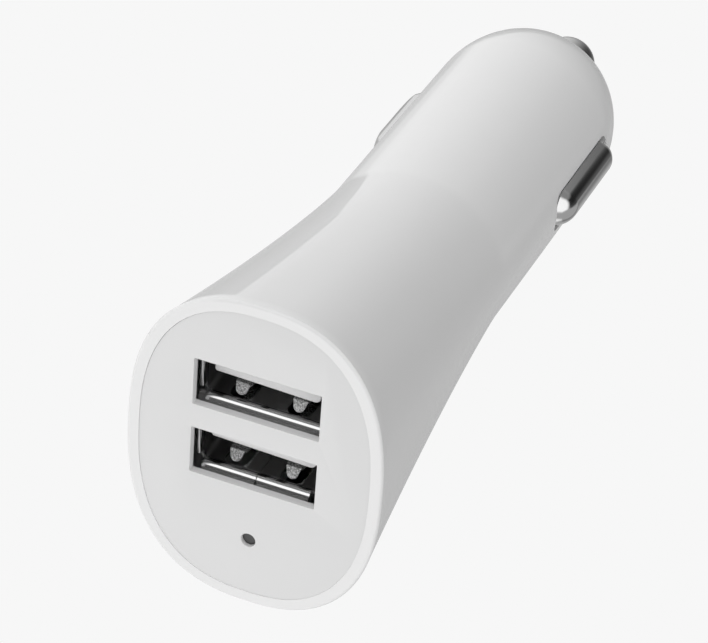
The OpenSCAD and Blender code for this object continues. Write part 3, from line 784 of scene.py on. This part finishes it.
def tongue_ring(z, y, inset):
    """A ring of the tongue's outline, with a radius of its own at each corner."""
    ring = []
    for corner, (sx, sz, r) in enumerate(((1, 1, 0.7), (-1, 1, 0.25), (-1, -1, 0.25), (1, -1, 0.7))):
        for step in range(9):
            t = math.radians(90 * corner + 90 * step / 8)
            x = sx * (TONGUE_W / 2 - r) + (r - inset) * math.cos(t)
            ring.append((x, y, z - x * TONGUE_LEAN + sz * (TONGUE_H / 2 - r) + (r - inset) * math.sin(t)))
    return ring


def tongue(name, port_z, shift):
    """The tongue and its block for one port, with the tongue moved up by shift."""
    z = port_z + CAVITY_H / 2 - 0.7 - TONGUE_H / 2 + shift
    edge = [(0.10, 0.0), (0.05, 0.014), (0.014, 0.05), (0.0, 0.10)]
    blade_rings = [tongue_ring(z, TONGUE_FRONT + d, g) for g, d in edge]
    blade = loft(name, blade_rings + [tongue_ring(z, BASE_FRONT + 0.3, 0)])
    block = loft("block", [round_box(12.4, 5.02, 0.6, y, port_z) for y in (BASE_FRONT, SHELL_BACK)])
    return turn_out(join(name, blade, block))


shader, place = new_finish("tongue_moulding", IOR=1.5)
feed(
    shader,
    Base_Color=noise(place, 3.0).blend(grey(0.84), grey(0.88)),
    Roughness=0.32 + 0.1 * noise(place, 0.2, 3.0),
    Normal=bump(noise(place, 0.15), 0.004, 0.5),
)
upper_tongue = tongue("tongue_upper", PORT_ZS["upper"], -0.15)
set_down(upper_tongue, "body", "tongue_moulding", ["usb_tongue_upper"])
lower_tongue = tongue("tongue_lower", PORT_ZS["lower"], 0.15)
set_down(lower_tongue, "body", "tongue_moulding", ["usb_tongue_lower"])

# %% [markdown]
# ## The side contacts
# Each contact is pressed from sprung sheet into a boat shape, with a round crown, steep
# flanks and a rounded ramp at its near end that lets the plug slide in and out. The boat
# is a loft over levels of one rounded outline. From level to level the height and the
# half width follow a circle, so the bright and dark bands run along the crown as they do
# on the real sheet. The ramp is part straight and part ellipse, in shares that were
# fitted to the outline. A hull of two plates would be simpler, but it has hard folds.

# %% Side contacts
CONTACT_START, CONTACT_END, CONTACT_HALF, CONTACT_SHEET = 54.13, 68.38, 2.15, 0.4
BOAT_CORNER, FLANK_LEAN = 1.4, math.radians(30)
# crown height and radius, length of the ramp and its straight share, length and power of the tail
CROWNS = {
    1: (11.80, 2.10, 2.6, 0.284, 1.12, 1.585),
    -1: (12.37, 2.00, 8.8, 0.100, 6.00, 2.600),
}
POST_X, POST_Y, EYE_R, EYE_BORE = 7.2, 41.0, 1.2, 0.55


def boat_ring(x, near, far, half):
    """One level of the boat: a half circle at its near end and rounded corners at its far end."""
    r = min(BOAT_CORNER, 0.8 * half)
    ring = []
    arcs = ((near + half, 0, half, 90, 270), (far - r, r - half, r, 270, 360), (far - r, half - r, r, 0, 90))
    for y, z, radius, start, end in arcs:
        for step in range(19):
            t = math.radians(start + (end - start) * step / 18)
            ring.append((x, y + radius * math.cos(t), z + radius * math.sin(t)))
    return ring


def boat_rings(side, inset):
    """The boat's levels from its foot to its crown, made smaller all round by an inset."""
    crown_x, crown_r, lead, straight, tail, power = CROWNS[side]
    crown_x, crown_r, foot_half = crown_x - inset, crown_r - inset, CONTACT_HALF - inset
    near, far = CONTACT_START + inset, CONTACT_END - inset
    flank_half = crown_r * math.cos(FLANK_LEAN)
    flank_x = crown_x - crown_r * (1 - math.sin(FLANK_LEAN))
    foot_x = flank_x - (foot_half - flank_half) / math.tan(FLANK_LEAN)
    rings = [boat_ring(x, near, far, foot_half) for x in (7.75, foot_x)]
    for k in range(25):
        share = k / 24
        turn = FLANK_LEAN + (math.pi / 2 - FLANK_LEAN) * share
        x = crown_x - crown_r * (1 - math.sin(turn))
        height = (x - foot_x) / (crown_x - foot_x)
        ramp = straight * height + (1 - straight) * (1 - math.sqrt(max(0.0, 1 - height * height)))
        level = max(0.0, math.cos(math.pi / 2 * share))
        half = max(0.01, crown_r * math.cos(turn))
        rings.append(boat_ring(x, near + lead * ramp, far - tail * (1 - level ** power), half))
    return rings


def side_contact(name, side):
    """A contact: its boat, the ears that stop it, the leaf behind it and the rolled eye it hangs on."""
    outer, inner = boat_rings(side, 0), boat_rings(side, CONTACT_SHEET)
    boat = build("boat", *skin(outer[::-1] + inner, closed=False))
    ears = [box((7.75, 58.1, s[0]), (8.15, 65.7, s[1])) for s in ((-3.1, -1.8), (1.8, 3.1))]
    leaf = box((8.0, POST_Y, -2.0), (8.4, 55.2, 2.0))
    turns = [2 * math.pi * i / 40 for i in range(40)]
    rolls = []
    for z0, z1 in ((-2.0, -1.0), (1.0, 2.0)):
        walls = ((EYE_R, z0), (EYE_R, z1), (EYE_BORE, z1), (EYE_BORE, z0))
        ring = [[(POST_X + r * math.cos(t), POST_Y + r * math.sin(t), z) for t in turns] for r, z in walls]
        rolls.append(build("roll", *skin(ring)))
    return turn_out(move(join(name, boat, *ears, leaf, *rolls), lambda x, y, z: (side * x, y, z)))


# %% [markdown]
# ## Polished contact plating
# The contacts are bright nickel over brass, polished by the press. They mirror the
# studio sharply, with a few fine rub marks along the way in which the plug slides.

# %% Contact finish
shader, place = new_finish("contact_plated", Metallic=1.0)
rubs = place.node("TexNoise", None, {"Vector": place * (9.0, 0.5, 9.0), "Scale": 1.0, "Detail": 4.0})
feed(
    shader,
    Base_Color=noise(place, 2.5).blend(grey(0.68), grey(0.74)),
    Roughness=0.10 + 0.05 * rubs,
    Normal=bump(rubs, 0.002, 0.5),
)
left_boat = side_contact("contact_left", -1)
set_down(left_boat, "left_contact", "contact_plated", ["side_contact_left"], 25)
right_boat = side_contact("contact_right", 1)
set_down(right_boat, "right_contact", "contact_plated", ["side_contact_right"], 25)

# %% [markdown]
# ## The tip
# The tip is turned on a lathe: a shank, a flange that stops it inside the nose, a spigot
# for the spring and a rounded end. It is spun here from the same profile, with more steps
# round the dome so that its highlight runs smoothly.

# %% Tip
TIP_R, TIP_END, TIP_DOME = 3.0, 87.5, 2.2
profile = [(2.3, 75.7), (2.6, 77.3), (4.8, 77.3), (4.9, 77.4), (4.9, 78.4), (4.8, 78.5), (TIP_R, 78.5)]
for k in range(30):
    t = math.radians(3 * k)
    profile.append((TIP_R * math.cos(t), TIP_END - TIP_DOME + TIP_DOME * math.sin(t)))
tip = loft("tip_turned", [circle(r, y) for r, y in profile])
TIP_PLAY = 0.07  # the play in its bore lets it rest to one side
for v in tip.data.vertices:
    v.co.x += TIP_PLAY

shader, place = new_finish("tip_dark_plated", Metallic=1.0)
turning = place.node("TexNoise", None, {"Vector": place * (0.6, 12.0, 0.6), "Scale": 1.0, "Detail": 2.0})
feed(
    shader,
    Base_Color=noise(place, 1.5).blend(grey(0.49), grey(0.55)),
    Roughness=0.24 + 0.1 * turning,
    Normal=bump(turning, 0.004, 0.5),
)
set_down(tip, "tip", "tip_dark_plated", ["tip_contact"], 40)

# %% [markdown]
# ## What stays as CAD
# The pieces inside keep their CAD shapes, which are right as they are. They still get
# real finishes, because a part can be opened, cut or posed: solder mask with its tracks,
# ferrite, copper wire, printed sleeves and moulded epoxy.

# %% Terminals, light pipe and lamp
shader, place = new_finish("terminal_plated", Metallic=1.0)
feed(
    shader,
    Base_Color=noise(place, 0.8).blend((0.60, 0.59, 0.57, 1), (0.68, 0.67, 0.64, 1)),
    Roughness=0.18 + 0.12 * noise(place, 0.3, 3.0),
)

shader, place = new_finish("pipe_smoked", IOR=1.5)
feed(
    shader,
    Base_Color=noise(place, 0.7).blend(grey(0.045), grey(0.062)),
    Roughness=0.3 + 0.1 * noise(place, 0.2),
)

shader, place = new_finish("led_package", IOR=1.5)
feed(
    shader,
    Base_Color=noise(place, 0.5).blend((0.80, 0.76, 0.60, 1), (0.88, 0.85, 0.72, 1)),
    Roughness=0.35 + 0.1 * noise(place, 0.1),
)
print("port finishes ready")

# %% Boards and their parts
shader, place = new_finish("circuit_board", IOR=1.5)
cells = {"Vector": place, "Scale": 0.45}
tracks = place.node("TexVoronoi", {"feature": "DISTANCE_TO_EDGE"}, cells, "Distance").rise(0.16, 0.12)
feed(
    shader,
    Base_Color=tracks.blend((0.012, 0.10, 0.035, 1), (0.03, 0.17, 0.06, 1)),
    Roughness=0.28 + 0.15 * noise(place, 0.6, 3.0),
    Normal=bump(tracks, 0.03, 0.6),
)

shader, place = new_finish("ferrite")
feed(
    shader,
    Base_Color=noise(place, 0.25, 4.0).blend(grey(0.025), grey(0.06)),
    Roughness=0.55 + 0.2 * noise(place, 0.3),
    Normal=bump(noise(place, 0.12, 3.0), 0.02, 0.5),
)

shader, place = new_finish("enamelled_wire", Metallic=0.9)
feed(
    shader,
    Base_Color=noise(place, 1.0).blend((0.45, 0.16, 0.05, 1), (0.60, 0.24, 0.08, 1)),
    Roughness=0.22 + 0.1 * noise(place, 0.4),
)

shader, place = new_finish("capacitor_can", Metallic=0.3)
stripe = place.axis("X").rise(1.2, 1.35)
feed(
    shader,
    Base_Color=stripe.blend((0.035, 0.05, 0.09, 1), (0.55, 0.57, 0.60, 1)),
    Roughness=0.3 + 0.15 * noise(place, 0.8),
)

shader, place = new_finish("chip_package")
feed(
    shader,
    Base_Color=noise(place, 0.3, 3.0).blend(grey(0.02), grey(0.035)),
    Roughness=0.5 + 0.15 * noise(place, 0.1),
    Normal=bump(noise(place, 0.08), 0.008, 0.5),
)

shader, place = new_finish("chip_ceramic")
feed(
    shader,
    Base_Color=noise(place, 0.6).blend((0.52, 0.36, 0.20, 1), (0.62, 0.45, 0.28, 1)),
    Roughness=0.4 + 0.1 * noise(place, 0.2),
)

shader, place = new_finish("fuse_body")
feed(
    shader,
    Base_Color=noise(place, 0.5).blend((0.72, 0.68, 0.56, 1), (0.80, 0.77, 0.66, 1)),
    Roughness=0.35 + 0.1 * noise(place, 0.3),
)

shader, place = new_finish("post_brass", Metallic=1.0)
feed(
    shader,
    Base_Color=noise(place, 1.0).blend((0.66, 0.47, 0.20, 1), (0.76, 0.57, 0.28, 1)),
    Roughness=0.22 + 0.15 * noise(place, 0.4),
)

shader, place = new_finish("spring_wire", Metallic=1.0)
feed(
    shader,
    Base_Color=noise(place, 0.7).blend(grey(0.45), grey(0.6)),
    Roughness=0.2 + 0.12 * noise(place, 0.3),
)

NODE_FINISHES = {
    "terminal_plated": ["usb_terminals_upper", "usb_terminals_lower"],
    "pipe_smoked": ["light_pipe"],
    "led_package": ["status_led"],
    "circuit_board": ["port_board", "power_board"],
    "ferrite": ["choke_core"],
    "enamelled_wire": ["choke_winding"],
    "capacitor_can": ["input_capacitor", "output_capacitor"],
    "chip_package": ["converter_chip", "rectifier"],
    "chip_ceramic": ["chip_parts"],
    "fuse_body": ["fuse"],
    "post_brass": ["hinge_post_left", "hinge_post_right", "spring_seat"],
    "spring_wire": ["tip_spring"],
}
for finish, names in NODE_FINISHES.items():
    for name in names:
        dress(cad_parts[name], finish)
print("dressed", sum(len(names) for names in NODE_FINISHES.values()), "CAD nodes")

# %% [markdown]
# ## The size
# The visual model must be no bigger than the CAD model.
